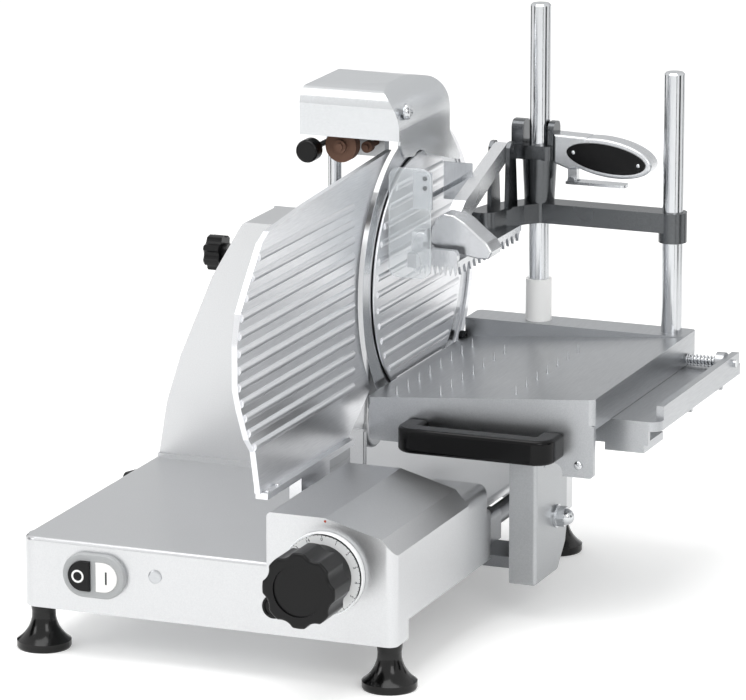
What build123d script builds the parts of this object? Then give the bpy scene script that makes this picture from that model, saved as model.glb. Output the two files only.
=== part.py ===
from build123d import *
import os
from math import cos, sin, radians, pi, hypot, atan2, degrees

# Electric vertical meat slicer, millimetres, +X to the operator's right, +Y away from the operator,
# +Z up. The pieces are set out from the front left corner of the base at the casting's lower rim,
# and moved at the end so that the origin is the middle of the front left foot's ground face.

# ---- driving sizes -------------------------------------------------------------------------------
base_width = 400
base_depth = 560
base_wall = 6
base_corner = 14
low_top_z = 72              # flat deck of the base
side_step = 14              # how far the rear half of the right side is set in
wall_end_y = 263            # rear end of the raised right side wall
side_lift = 20              # lower edge of the right side wall, where the carriage arm passes
hump_left = 265             # control housing at the front right
hump_flat_end = 327
hump_shoulder_x = 386
hump_shoulder_z = 108
hump_side_z = 92
hump_top_z = 124
hump_depth = 200
shoulder_left = 340
shoulder_z = 98

foot_height = 47
foot_inset_x = 14
foot_inset_y = 21
foot_top_radius = 13.5
foot_waist_radius = 12
foot_base_radius = 27.5
foot_bore_radius = 4

blade_radius = 150
blade_thick = 4
blade_face_x = 252          # right hand face of the blade
blade_y = 435
blade_z = 270
blade_gap = 1.5             # between the edge and the gauge plate or the guard
shaft_radius = 10
shaft_bore = 5
tie_rod_radius = 4
running_gap = 0.03
fit_gap = 0.3

plate_thick = 6             # gauge plate without its ribs
plate_face_x = 247
rib_height = 2.4
rib_pitch = 17
rib_width = 9

upright_front_y = 327
upright_rear_y = 410
upright_right_x = 190
upright_top_z = 332
upright_wall = 6

dial_x = 327
dial_z = 69
dial_ring_radius = 42
knob_radius = 38
knob_barrel_radius = 31
knob_front_y = -70
spindle_radius = 6
cam_y = 140
cam_thick = 10
cam_small_radius = 12
gauge_per_radian = 2.6      # millimetres of gauge travel for each radian of the dial
follower_radius = 3

guide_x = 356               # carriage guide rod under the right side
guide_z = 27
guide_radius = 10
guide_bar_x = 310

leg_x = 413
leg_width = 29.5
leg_front_y = 282
leg_depth = 90
leg_bottom_z = -10
leg_wall = 5
arm_low_z = -1
arm_high_z = 11

tray_left = 270
tray_right = 556
tray_front_y = 330
tray_rear_y = 604
tray_top_z = 161
tray_thick = 10

table_left = 259
table_right = 505
table_front_y = 276
table_rear_y = 600
table_left_z = 173          # height of the top on the blade side
table_right_z = 193
table_wall = 5.5
lip_depth = 40

rod_radius = 11
rod_y = 582
tall_rod_x = 334
short_rod_x = 483
tall_rod_top = 534
short_rod_top = 471
collar_radius = 14
collar_height = 45

arm_z = 301                 # underside of the press cross arm
arm_thick = 21
press_left = 274
press_right = 325
press_front_y = 364
press_rear_y = 555
press_z = 295


# ---- small builders ------------------------------------------------------------------------------
def block(x0, x1, y0, y1, z0, z1):
    """A box between two corners."""
    return Pos((x0 + x1) / 2, (y0 + y1) / 2, (z0 + z1) / 2) * Box(x1 - x0, y1 - y0, z1 - z0)


def bar_x(radius, x0, x1, y, z):
    """A round bar along X."""
    return Pos((x0 + x1) / 2, y, z) * Rot(0, 90, 0) * Cylinder(radius, x1 - x0)


def bar_y(radius, y0, y1, x, z):
    """A round bar along Y."""
    return Pos(x, (y0 + y1) / 2, z) * Rot(90, 0, 0) * Cylinder(radius, y1 - y0)


def bar_z(radius, z0, z1, x, y):
    """A round bar along Z."""
    return Pos(x, y, (z0 + z1) / 2) * Cylinder(radius, z1 - z0)


def side_sheet(face, x0, x1):
    """A face drawn in (Y, Z), made solid between two X planes."""
    return extrude(Plane.YZ.offset(x0) * face, x1 - x0)


def front_sheet(face, y0, y1):
    """A face drawn in (X, Z), made solid between two Y planes."""
    return extrude(Plane((0, y1, 0), x_dir=(1, 0, 0), z_dir=(0, -1, 0)) * face, y1 - y0)


def flat_sheet(face, z0, z1):
    """A face drawn in (X, Y), made solid between two Z planes."""
    return extrude(Plane.XY.offset(z0) * face, z1 - z0)


def outline(*points):
    """A straight-sided face."""
    return make_face(Polyline(*points, close=True))


def rounded(face, radius, *near):
    """The face with the corners next to the given points rounded."""
    corners = [face.vertices().sort_by_distance(Vector(*p))[0] for p in near]
    return fillet(corners, radius)


def hexagon_x(flats, x0, x1, y, z):
    """A hexagon bar along X."""
    return side_sheet(Pos(y, z) * RegularPolygon(flats / 2, 6, major_radius=False), x0, x1)


parts = {}
shift = Location((-foot_inset_x, -foot_inset_y, foot_height))

# ---- base ----------------------------------------------------------------------------------------
feet_xy = [
    (foot_inset_x, foot_inset_y),
    (base_width - foot_inset_x, foot_inset_y),
    (foot_inset_x, base_depth - foot_inset_y),
    (base_width - side_step - foot_inset_x, base_depth - foot_inset_y),
]


def hump_profile(inset):
    """The control housing seen from the front, drawn inset by a wall."""
    face = outline(
        (hump_left + inset, 0),
        (hump_left + inset, hump_top_z - inset),
        (hump_flat_end - inset / 6, hump_top_z - inset),
        (hump_shoulder_x - inset / 2, hump_shoulder_z - inset),
        (base_width - inset, hump_side_z - inset / 2),
        (base_width - inset, 0),
    )
    return rounded(face, 5, (hump_left + inset, hump_top_z - inset))


def base_casting():
    deck_right = base_width - side_step
    front = block(0, base_width, 0, wall_end_y, 0, low_top_z)
    rear = block(0, deck_right, 0, base_depth, 0, low_top_z)
    body = front + rear
    corners = [(0, 0), (base_width, 0), (0, base_depth), (deck_right, base_depth)]
    upright_edges = body.edges().filter_by(Axis.Z)
    outer = [upright_edges.sort_by_distance((x, y, low_top_z / 2))[0] for x, y in corners]
    body = fillet(outer, base_corner)
    rim = body.edges().filter_by(Plane.XY).group_by(Axis.Z)[-1]
    low_rim = [e for e in rim if e.center().X < base_width - side_step + 1]
    body = fillet(low_rim, 4)
    hump = front_sheet(hump_profile(0), 0, hump_depth)
    hump = fillet(
        hump.edges().filter_by(Axis.Z).sort_by_distance((base_width, 0, hump_side_z / 2))[0],
        base_corner - 4,
    )
    shoulder = block(shoulder_left, base_width, 60, wall_end_y, 0, shoulder_z)
    side = shoulder.edges().filter_by(Axis.Y).sort_by_distance((base_width, 150, shoulder_z))[0]
    end = shoulder.edges().filter_by(Axis.Z).sort_by_distance((base_width, wall_end_y, 50))[0]
    shoulder = fillet([side, end], base_corner)
    body += hump + shoulder
    w = base_wall
    hollow = block(w, deck_right - w, w, base_depth - w, -1, low_top_z - w)
    hollow += block(w, base_width - w, w, wall_end_y - w - 3, -1, low_top_z - w)
    hollow += front_sheet(hump_profile(w), w, hump_depth - w)
    hollow += block(shoulder_left + w, base_width - w, 60, wall_end_y - w - 3, -1, shoulder_z - w)
    body -= hollow
    for x, y in feet_xy:
        post = block(x - 14, x + 14, y - 14, y + 14, 0, low_top_z - 1)
        post = fillet(post.edges().filter_by(Axis.Z), base_corner - 0.5)
        body += post
    body += block(hump_left + 0.5, hump_left + 7.5, 112, 188, 84, hump_top_z - 4)
    for y in gauge_shaft_y:
        body += block(336, 346, y - 9, y + 9, gauge_shaft_z - 9, hump_top_z - 9)
        body -= bar_x(gauge_shaft_radius + running_gap, 250, 380, y, gauge_shaft_z)
    for y0, y1 in ((w - 1, 20), (base_depth - 38, base_depth - w + 1)):
        body += block(guide_x - 15, guide_x + 15, y0, y1, guide_z - 15, low_top_z - w + 1)
        body += block(guide_bar_x - 9, guide_bar_x + 9, y0, y1, 12, low_top_z - w + 1)
    body += bar_y(13, w - 1, 28, dial_x, dial_z)
    body -= bar_y(spindle_radius + running_gap, -5, 40, dial_x, dial_z)
    body -= bar_y(guide_radius, 9, base_depth - 20, guide_x, guide_z)
    body -= block(guide_bar_x - 4, guide_bar_x + 4, 9, base_depth - 20, 14, 38)
    body -= block(base_width - 9, base_width + 1, 36, wall_end_y + 1, -1, side_lift)
    body -= block(deck_right - w - 1, base_width + 1, wall_end_y - w - 5, wall_end_y + 9, -1, side_lift)
    body -= block(deck_right - w - 1, deck_right + 1, wall_end_y + 8, base_depth - 42, -1, low_top_z - w)
    for x, y in feet_xy:
        body -= bar_z(foot_bore_radius, -1, 30, x, y)
    opening = RectangleRounded(switch_width - 10, switch_height - 12, 8)
    body -= front_sheet(Pos(switch_x, switch_z) * opening, -1, w + 1)
    body -= bar_y(plug_radius, -1, w + 1, plug_x, plug_z)
    body -= bar_y(cap_radius - 3, -1, w + 1, cap_x, cap_z)
    body -= bar_x(gland_radius - 4, -1, w + 1, gland_y, gland_z)
    for x, y in cover_screw_xy:
        body += bar_z(7, 1.5, low_top_z - w + 1, x, y)
        body -= bar_z(2, 0, 20, x, y)
    return body


gauge_shaft_y = (125, 175)
gauge_shaft_z = 100
gauge_shaft_radius = 7
switch_x = 81.5
switch_z = 40
switch_width = 67
switch_height = 45
plug_x = 145.6
plug_z = 45
plug_radius = 6
cap_x = 273
cap_z = 29
cap_radius = 12
gland_y = 300
gland_z = 51
gland_radius = 13
cover_screw_xy = [(60, 120), (230, 60), (60, 440), (230, 500)]
parts["base_casting"] = base_casting()


def base_bottom_cover():
    sheet = block(6.5, 290, 6.5, base_depth - 6.5, 0, 1.5)
    for x, y in feet_xy:
        sheet -= block(x - 14.5, x + 14.5, y - 14.5, y + 14.5, -1, 3)
    for x, y in cover_screw_xy:
        sheet -= bar_z(2.2, -1, 3, x, y)
    for row in range(5):
        slot = block(120, 170, 250 + row * 16, 256 + row * 16, -1, 3)
        sheet -= slot
    return sheet


parts["base_bottom_cover"] = base_bottom_cover()


def foot(x, y):
    profile = make_face(
        Polyline(
            (0, -foot_height), (foot_base_radius - 1, -foot_height),
            (foot_base_radius, -foot_height + 2), (foot_base_radius, -foot_height + 8),
        )
        + Spline(
            (foot_base_radius, -foot_height + 8), (17.5, -foot_height + 18),
            (foot_waist_radius + 0.5, -foot_height + 30), (foot_waist_radius, -10),
        )
        + Polyline(
            (foot_waist_radius, -10), (foot_top_radius, -1), (foot_top_radius, 0),
            (foot_bore_radius - 0.1, 0), (foot_bore_radius - 0.1, 22), (0, 22), (0, -foot_height),
        )
    )
    return Pos(x, y, 0) * revolve(Plane.XZ * profile, Axis.Z)


parts["feet"] = Compound([foot(x, y) for x, y in feet_xy])

# ---- front panel ---------------------------------------------------------------------------------
button_travel = 3


def stadium(width, height):
    return Pos(switch_x, switch_z) * RectangleRounded(width, height, height / 2 - 0.01)


def button_face(side, inset):
    """One half of the stadium opening, left (-1) or right (+1)."""
    half = stadium(switch_width - 14 - 2 * inset, switch_height - 14 - 2 * inset)
    cut = Pos(switch_x + side * (50 + 2.6 + inset), switch_z) * Rectangle(100, 100)
    return half & cut


def switch_bezel():
    ring = front_sheet(stadium(switch_width, switch_height), -7, 0)
    ring = fillet(ring.edges().filter_by(Plane.XZ).group_by(Axis.Y)[0], 2)
    neck = RectangleRounded(switch_width - 11, switch_height - 13, 8)
    ring += front_sheet(Pos(switch_x, switch_z) * neck, 0, 8)
    for side in (-1, 1):
        ring -= front_sheet(button_face(side, 0), -12, 12)
    return ring


parts["switch_bezel"] = switch_bezel()
for name, side, front in (("stop_button", -1, -11), ("start_button", 1, -8.5)):
    cap = front_sheet(button_face(side, fit_gap), front, 10)
    parts[name] = fillet(cap.edges().filter_by(Plane.XZ).group_by(Axis.Y)[0], 1.5)
parts["switch_block"] = (
    block(switch_x - 27, switch_x + 27, 15, 48, switch_z - 15, switch_z + 15)
    + block(switch_x - 29.5, switch_x - 26.8, 8, 30, switch_z - 12, switch_z + 12)
    + block(switch_x + 26.8, switch_x + 29.5, 8, 30, switch_z - 12, switch_z + 12)
)


def turned_y(points, x, z):
    """A turned piece along Y from (radius, y) points."""
    face = make_face(Polyline(*points, close=True))
    body = revolve(Plane.XY * face, Axis.Y)
    return Pos(x, 0, z) * body


parts["front_plug"] = turned_y(
    [(0, -1.5), (5.5, -1.5), (7, -0.8), (7, 0), (plug_radius - 0.1, 0), (plug_radius - 0.1, 8), (0, 8)],
    plug_x, plug_z,
)
parts["lower_cap"] = turned_y(
    [(0, -2), (8.5, -2), (9.5, -3.5), (11.5, -3.5), (cap_radius, -2.5), (cap_radius, 0),
     (cap_radius - 3.1, 0), (cap_radius - 3.1, 8), (0, 8)],
    cap_x, cap_z,
)
gland = revolve(
    Plane.XY
    * make_face(
        Polyline(
            (-24, 5), (-22, 8.5), (-12, gland_radius - 1), (-9, gland_radius), (0, gland_radius),
            (0, gland_radius - 4.1),
            (8, gland_radius - 4.1), (8, 5), close=True,
        )
    ),
    Axis.X,
)
parts["cable_gland"] = Pos(0, gland_y, gland_z) * gland

# ---- dial ----------------------------------------------------------------------------------------
dial_ring = bar_y(dial_ring_radius, -9, -0.6, dial_x, dial_z)
dial_ring = chamfer(dial_ring.edges().group_by(Axis.Y)[0], 2)
parts["dial_ring"] = dial_ring - bar_y(spindle_radius, -12, 0, dial_x, dial_z)


def dial_knob():
    barrel = bar_y(knob_barrel_radius, -34, -9, dial_x, dial_z)
    star = Pos(dial_x, dial_z) * Circle(knob_radius)
    for k in range(8):
        turn = radians(45 * k + 22.5)
        reach = knob_radius + 11
        star -= Pos(dial_x + reach * cos(turn), dial_z + reach * sin(turn)) * Circle(14.5)
    star = fillet(star.vertices(), 4)
    grip = front_sheet(star, knob_front_y, -30)
    grip = fillet(grip.edges().group_by(Axis.Y)[0], 3)
    grip -= bar_y(knob_radius - 12, knob_front_y - 1, knob_front_y + 2, dial_x, dial_z)
    return barrel + grip - bar_y(spindle_radius, -30, 0, dial_x, dial_z)


parts["dial_knob"] = dial_knob()


def dial_spindle():
    """The spindle and its snail cam, whose radius grows steadily with the angle."""
    rise = gauge_per_radian * pi / 180
    curve = []
    for step in range(16):
        turn = -15 + 23 * step
        reach = cam_small_radius + rise * turn
        curve.append((reach * cos(radians(180 + turn)), reach * sin(radians(180 + turn))))
    cam = make_face(Spline(*curve) + Line(curve[-1], curve[0]))
    cam = front_sheet(Pos(dial_x, dial_z) * cam, cam_y, cam_y + cam_thick)
    return cam + bar_y(spindle_radius, -30, cam_y + 25, dial_x, dial_z)


parts["dial_spindle"] = dial_spindle()

# ---- gauge plate ---------------------------------------------------------------------------------
plate_outline = [
    (27, 137), (16, 178), (0, 194), (-18, 228), (-27, 251), (-27, 296), (-19, 324), (3, 349),
    (35, 383), (53, 391), (151, 399), (382, 410), (400, 410), (400, 173), (322, 173), (257, 133),
    (27, 133),
]


def gauge_plate():
    face = outline(*plate_outline)
    face = rounded(face, 18, (-27, 251), (-27, 296))
    face -= Pos(blade_y, blade_z) * Circle(blade_radius + blade_gap)
    sheet = side_sheet(face, plate_face_x - plate_thick, plate_face_x)
    rib_tops = []
    z = 184
    while z < 388:
        rib_tops.append(z)
        z += rib_pitch
    for z in rib_tops:
        start = plate_left_edge(z) + 3
        end = min(plate_arc_y(z) - 12, 270)
        low, high = z - rib_width / 2, z + rib_width / 2
        section = make_face(
            Polyline((plate_face_x - 0.5, low), (plate_face_x, low)) + ThreePointArc(
                (plate_face_x, low), (plate_face_x + rib_height, z + 1.5), (plate_face_x, high)
            ) + Polyline((plate_face_x, high), (plate_face_x - 0.5, high), (plate_face_x - 0.5, low))
        )
        sheet += front_sheet(section, start, end)
    return sheet


def plate_left_edge(z):
    """Y of the plate's front edge at a height."""
    edge = plate_outline[:11]
    for (y0, z0), (y1, z1) in zip(edge, edge[1:]):
        if z0 <= z <= z1:
            return y0 + (y1 - y0) * (z - z0) / (z1 - z0)
    return edge[-1][0]


def plate_arc_y(z):
    """Y of the plate's rear edge, beside the blade."""
    reach = blade_radius + blade_gap
    return blade_y - (reach**2 - min(reach, abs(z - blade_z)) ** 2) ** 0.5


rail_x0 = plate_face_x - plate_thick
parts["gauge_plate"] = (
    gauge_plate()
    + block(rail_x0, rail_x0 + 13, 30, 257, 127, 133.5)
    + block(rail_x0, rail_x0 + 13, 116, 190, 92, 127)
)
parts["gauge_shafts"] = Compound(
    [bar_x(gauge_shaft_radius, rail_x0 + 13, 362, y, gauge_shaft_z) for y in gauge_shaft_y]
)


def gauge_crossbar():
    follower_x = dial_x - cam_small_radius - follower_radius - 0.4
    middle = cam_y + cam_thick / 2
    bar = block(288, 296, 115, 185, gauge_shaft_z - 7.6, gauge_shaft_z + 7.6)
    for y in gauge_shaft_y:
        bar -= bar_x(gauge_shaft_radius, 280, 300, y, gauge_shaft_z)
    bar += block(288, 296, middle - 3, middle + 3, dial_z - 3, gauge_shaft_z)
    bar += block(290, follower_x, middle - 3, middle + 3, dial_z - 2.4, dial_z + 2.4)
    bar += bar_y(follower_radius, middle - 3, middle + 3, follower_x, dial_z)
    return bar


parts["gauge_crossbar"] = gauge_crossbar()

# ---- upright and blade drive ---------------------------------------------------------------------
upright_profile = [
    (4, low_top_z), (14, 133), (30, 184), (44, 217), (67, 272), (102, upright_top_z),
    (upright_right_x, upright_top_z), (upright_right_x, low_top_z),
]
post_x = 177                # post that carries the sharpener
post_y = 394
post_radius = 7
lock_z = 281
motor_y = 368.5
motor_z = 125
motor_radius = 33
motor_pulley_radius = 14
blade_pulley_radius = 58
pulley_x0 = 199
pulley_thick = 12
belt_width = 9
belt_thick = 3


def upright_casting():
    w = upright_wall
    face = outline(*upright_profile)
    face = rounded(face, 8, (102, upright_top_z), (upright_right_x, upright_top_z))
    face = rounded(face, 90, (14, 133))
    body = front_sheet(face, upright_front_y, upright_rear_y)
    inner = outline(
        (4 + w + 1, low_top_z - 1), (14 + w + 1, 133), (30 + w + 1, 184), (44 + w + 1, 217),
        (67 + w + 1, 270), (102 + w, upright_top_z - w), (upright_right_x - w, upright_top_z - w),
        (upright_right_x - w, low_top_z - 1),
    )
    body -= front_sheet(inner, upright_front_y + w, upright_rear_y + 1)
    body += block(4.5, upright_right_x, upright_front_y - 4, upright_front_y + 1, low_top_z, low_top_z + 5)
    body += bar_z(post_radius + 6, 290, upright_top_z - 1, post_x - 1, post_y)
    body += bar_x(11, 66, 88, post_y, lock_z)
    body += block(80, post_x, post_y - 6, post_y + 6, lock_z - 6, 296)
    body -= bar_z(post_radius + running_gap, 200, upright_top_z + 1, post_x, post_y)
    body -= bar_x(4 + running_gap, 40, post_x, post_y, lock_z)
    seat_y = motor_y - motor_radius + 2
    body += block(20, upright_right_x - 1, upright_front_y + w - 1, seat_y, motor_z - 12, motor_z - 4)
    body += block(60, 76, upright_front_y + w - 1, motor_y + 6, low_top_z, 98)
    body += block(150, 166, upright_front_y + w - 1, motor_y + 6, low_top_z, 98)
    body -= bar_x(motor_radius, 19, upright_right_x - w, motor_y, motor_z)
    return body - bar_x(7, 180, upright_right_x + 1, motor_y, motor_z)


parts["upright_casting"] = upright_casting()


def drive_loop(small, large):
    """The straight-sided outline round a small circle at the motor and a large one at the blade."""
    dy, dz = blade_y - motor_y, blade_z - motor_z
    lean = atan2(dz, dy)
    open_angle = pi / 2 + atan2(large - small, (hypot(dy, dz) ** 2 - (large - small) ** 2) ** 0.5)
    a, b = lean + open_angle, lean - open_angle
    p1 = (motor_y + small * cos(a), motor_z + small * sin(a))
    p2 = (blade_y + large * cos(a), blade_z + large * sin(a))
    p3 = (blade_y + large * cos(b), blade_z + large * sin(b))
    p4 = (motor_y + small * cos(b), motor_z + small * sin(b))
    far = (blade_y + large * cos(lean), blade_z + large * sin(lean))
    near = (motor_y - small * cos(lean), motor_z - small * sin(lean))
    path = Line(p1, p2) + ThreePointArc(p2, far, p3) + Line(p3, p4) + ThreePointArc(p4, near, p1)
    return make_face(path)


carrier_x0 = upright_right_x
carrier_x1 = 234
carrier_radius = 78
carrier_wall = 7
bearing_outer = 17
boss_x0 = pulley_x0 + pulley_thick + 2


def blade_carrier():
    """Housing on the upright's right side that holds the blade's bearing and shrouds the belt."""
    body = side_sheet(drive_loop(30, carrier_radius), carrier_x0, carrier_x1)
    body = fillet(body.edges().group_by(Axis.X)[-1], 4)
    hollow = drive_loop(30 - carrier_wall, carrier_radius - carrier_wall)
    body -= side_sheet(hollow, carrier_x0 - 1, carrier_x1 - 14)
    body += bar_x(bearing_outer + 6, boss_x0, carrier_x1 - 10, blade_y, blade_z)
    body -= bar_x(bearing_outer, boss_x0 - 1, carrier_x1 - 3, blade_y, blade_z)
    return body - bar_x(shaft_radius + 2, carrier_x0 - 1, carrier_x1 + 1, blade_y, blade_z)


parts["blade_carrier"] = blade_carrier()
bearing = bar_x(bearing_outer, boss_x0, carrier_x1 - 3, blade_y, blade_z)
parts["blade_bearing"] = bearing - bar_x(shaft_radius + running_gap, 180, 240, blade_y, blade_z)


def rear_cover():
    """Sheet that closes the back of the upright and the free side of the carrier in one bend."""
    rear = outline(*upright_profile[:6], (upright_right_x, upright_top_z), (upright_right_x, low_top_z))
    body = front_sheet(rear, upright_rear_y, upright_rear_y + 2)
    flank = drive_loop(30, carrier_radius)
    flank -= Pos(upright_rear_y - 300, 200) * Rectangle(600, 600)
    body += side_sheet(flank, carrier_x0 - 2, carrier_x0)
    return body - bar_x(tie_rod_radius + 0.5, 170, 200, blade_y, blade_z)


parts["rear_cover"] = rear_cover()


def pulley(radius, y, z):
    """A flat belt pulley with a flange on each side."""
    x0, x1 = pulley_x0, pulley_x0 + pulley_thick
    flanges = bar_x(radius + 3, x0, x0 + 1, y, z) + bar_x(radius + 3, x1 - 1, x1, y, z)
    return bar_x(radius, x0, x1, y, z) + flanges


belt_middle = pulley_x0 + pulley_thick / 2
belt_inner = (motor_pulley_radius + fit_gap, blade_pulley_radius + fit_gap)
belt_face = drive_loop(belt_inner[0] + belt_thick, belt_inner[1] + belt_thick) - drive_loop(*belt_inner)
parts["drive_belt"] = side_sheet(belt_face, belt_middle - belt_width / 2, belt_middle + belt_width / 2)
parts["motor_pulley"] = pulley(motor_pulley_radius, motor_y, motor_z) + bar_x(5, 165, 200, motor_y, motor_z)
motor = bar_x(motor_radius, 48, 178, motor_y, motor_z)
motor = fillet(motor.edges().filter_by(GeomType.CIRCLE).group_by(Axis.X)[0], 4)
parts["drive_motor"] = motor - bar_x(5 + running_gap, 163, 180, motor_y, motor_z)
large_pulley = pulley(blade_pulley_radius, blade_y, blade_z)
large_pulley -= bar_x(shaft_radius, 180, 230, blade_y, blade_z)
for k in range(6):
    turn = radians(60 * k)
    large_pulley -= bar_x(11, 180, 230, blade_y + 35 * cos(turn), blade_z + 35 * sin(turn))
parts["blade_pulley"] = large_pulley

hub_radius = 45
hub_x0 = carrier_x1 + 1.5
spigot_radius = 20
blade_screw_ring = 32
blade_screw_at = [
    (blade_y + blade_screw_ring * cos(radians(45 + 90 * k)),
     blade_z + blade_screw_ring * sin(radians(45 + 90 * k)))
    for k in range(4)
]
shaft = bar_x(shaft_radius, pulley_x0 - 1, hub_x0 + 1, blade_y, blade_z)
shaft += bar_x(hub_radius, hub_x0, blade_face_x - blade_thick, blade_y, blade_z)
shaft += bar_x(spigot_radius, blade_face_x - 5, blade_face_x, blade_y, blade_z)
shaft -= bar_x(shaft_bore, 180, 260, blade_y, blade_z)
for y, z in blade_screw_at:
    shaft -= bar_x(3, hub_x0 + 2, 260, y, z)
parts["blade_shaft"] = shaft


def blade():
    """Concave-ground disc, flat by its hub and at its edge, with the bevel on the back."""
    face_x, back_x = blade_face_x, blade_face_x - blade_thick
    section = make_face(
        Polyline(
            (back_x, spigot_radius), (face_x, spigot_radius), (face_x, 60), (face_x - 1, 66),
            (face_x - 1, 118), (face_x, 130), (face_x, blade_radius), (face_x - 0.4, blade_radius),
            (back_x, blade_radius - 16), close=True,
        )
    )
    body = Pos(0, blade_y, blade_z) * revolve(Plane.XY * section, Axis.X)
    for y, z in blade_screw_at:
        body -= bar_x(3, 220, 260, y, z)
    return body


parts["blade"] = blade()
parts["blade_screws"] = Compound([bar_x(3, hub_x0 + 2, blade_face_x, y, z) for y, z in blade_screw_at])

cover_radius = 126
cover_x0 = blade_face_x + 1
cover_x1 = cover_x0 + 2


def blade_cover():
    """Ribbed disc that carries on the gauge plate's ribs across the blade."""
    body = bar_x(cover_radius, cover_x0, cover_x1, blade_y, blade_z)
    body = fillet(body.edges().group_by(Axis.X)[-1], 1)
    for k in range(-6, 7):
        z = blade_z + k * rib_pitch
        half = (cover_radius**2 - (z - blade_z) ** 2) ** 0.5 - 8
        low, high = (cover_x1 - 0.3, z - 4), (cover_x1 - 0.3, z + 4)
        bead = make_face(Line(low, high) + ThreePointArc(high, (cover_x1 + 1.6, z), low))
        body += front_sheet(bead, blade_y - half, blade_y + half)
    return body - bar_x(tie_rod_radius, 200, cover_x1 - 0.5, blade_y, blade_z)


parts["blade_cover"] = blade_cover()
parts["cover_tie_rod"] = bar_x(tie_rod_radius, 166, cover_x1 - 0.5, blade_y, blade_z)


def lobed_knob(radius, lobes, x0, x1, y, z, bore):
    """A small moulded hand knob on an axis along X, with its short neck on the +X side."""
    face = Pos(y, z) * Circle(radius)
    for k in range(lobes):
        turn = 2 * pi * (k + 0.5) / lobes
        hollow = Pos(y + radius * 1.16 * cos(turn), z + radius * 1.16 * sin(turn))
        face -= hollow * Circle(radius * 0.34)
    knob = side_sheet(face, x0, x1)
    knob = chamfer(knob.edges().group_by(Axis.X)[0], 2)
    knob += bar_x(radius * 0.55, x1, x1 + 5, y, z)
    return knob - bar_x(bore, x0 + 5, x1 + 6, y, z)


parts["cover_knob"] = lobed_knob(19, 6, 161, 182.7, blade_y, blade_z, tie_rod_radius)

guard_low, guard_high = 241, 255
guard_boss_angle = radians(-39)
guard_boss = (
    blade_y + (blade_radius + 3) * cos(guard_boss_angle),
    blade_z + (blade_radius + 3) * sin(guard_boss_angle),
)


def guard_ring():
    """The fixed ring round the rear of the blade, on three arms from the carrier."""
    inner, outer = blade_radius + blade_gap, blade_radius + 11
    start, end = radians(62), radians(-112)
    wedge = outline(
        (0, 0), (300 * cos(start), 300 * sin(start)), (400, 0), (200, -400),
        (400 * cos(end), 400 * sin(end)),
    )
    face = Circle(outer) - Circle(inner)
    ring = side_sheet(Pos(blade_y, blade_z) * (face & wedge), guard_low, guard_high)
    for turn in (50, -18, -86):
        arm = Rot(0, 0, turn) * Pos((60 + outer) / 2, 0) * Rectangle(outer - 62, 22)
        ring += side_sheet(Pos(blade_y, blade_z) * arm, carrier_x1, guard_low + 1)
    ring += bar_x(10, guard_low + 4, guard_high, *guard_boss)
    return ring - bar_x(inner, guard_low + 1, guard_high + 1, blade_y, blade_z)


parts["blade_guard_ring"] = guard_ring()

# ---- sharpener -----------------------------------------------------------------------------------
hood_left, hood_right = 157, 267
hood_front, hood_rear = 347, 491
hood_low = 425
hood_skin = 3
stone_x = 194
stone_z = 411
stone_radius = 17
button_x = 166
button_z = 408
burr_x = 217
burr_z = 409
lug_y = 410
frame_z = 429


def sharpener_form(inset):
    """The arched hood over the stones, drawn inset by its wall."""
    left, right = hood_left + inset, hood_right - inset
    front_y, rear_y = hood_front + inset, hood_rear - inset
    low = hood_low - 30
    front = make_face(
        Polyline((right, 432), (right, low), (left, low), (left, 474 - inset), (238, 477 - inset))
        + ThreePointArc((238, 477 - inset), (259 - inset * 0.7, 460 - inset * 0.7), (right, 432))
    )
    side = make_face(
        Polyline((rear_y, 448), (rear_y, low), (front_y, low), (front_y, 458))
        + ThreePointArc((front_y, 458), (352 + inset * 0.9, 469 - inset), (364, 474 - inset))
        + ThreePointArc((364, 474 - inset), (410, 478 - inset), (473, 470 - inset))
        + ThreePointArc((473, 470 - inset), (486 - inset, 462 - inset * 0.6), (rear_y, 448))
    )
    return front_sheet(front, front_y, rear_y) & side_sheet(side, left, right)


def sharpener_cover():
    body = sharpener_form(0) - sharpener_form(hood_skin)
    body -= block(140, 300, 340, 500, 380, hood_low)
    wing = outline(
        (350, 432), (350, 420), (362, 406), (440, 394), (518, 374), (522, 378), (491, 410), (491, 432)
    )
    wing -= Pos(404, 380) * Circle(26)
    return body + side_sheet(wing, hood_right - hood_skin, hood_right)


parts["sharpener_cover"] = sharpener_cover()


def sharpener_frame():
    inner_left = hood_left + hood_skin
    inner_right = hood_right - hood_skin
    body = block(inner_left, 232, 383, lug_y + 12, frame_z, frame_z + 10)
    body += block(200, inner_right, 359, 400, 429, 432)
    body += block(inner_left + 1, 226, lug_y, lug_y + 12, 394, frame_z + 1)
    body -= bar_z(post_radius, 380, frame_z + 7, post_x, post_y)
    for x, z, radius in ((stone_x, stone_z, 4), (button_x, button_z, 3), (burr_x, burr_z, 3)):
        body -= bar_y(radius + running_gap, lug_y - 1, lug_y + 13, x, z)
    return body


parts["sharpener_frame"] = sharpener_frame()
parts["sharpener_post"] = bar_z(post_radius, 296, frame_z + 7, post_x, post_y)
button = bar_y(3, 355, lug_y + 18, button_x, button_z) + bar_y(12, 342, 358, button_x, button_z)
parts["sharpener_button"] = fillet(button.edges().group_by(Axis.Y)[0], 3)
parts["grinding_stone"] = (
    bar_y(stone_radius, 368, 380, stone_x, stone_z)
    + bar_y(7, 364, 384, stone_x, stone_z)
    + bar_y(4, 362, lug_y + 16, stone_x, stone_z)
)
parts["deburring_stone"] = bar_y(6, 382, 390, burr_x, burr_z) + bar_y(3, 378, lug_y + 16, burr_x, burr_z)
lock = lobed_knob(19, 7, 34, 52, post_y, lock_z, 4)
parts["lock_knob"] = lock + bar_x(4, 38, post_x - post_radius - fit_gap, post_y, lock_z)

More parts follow.
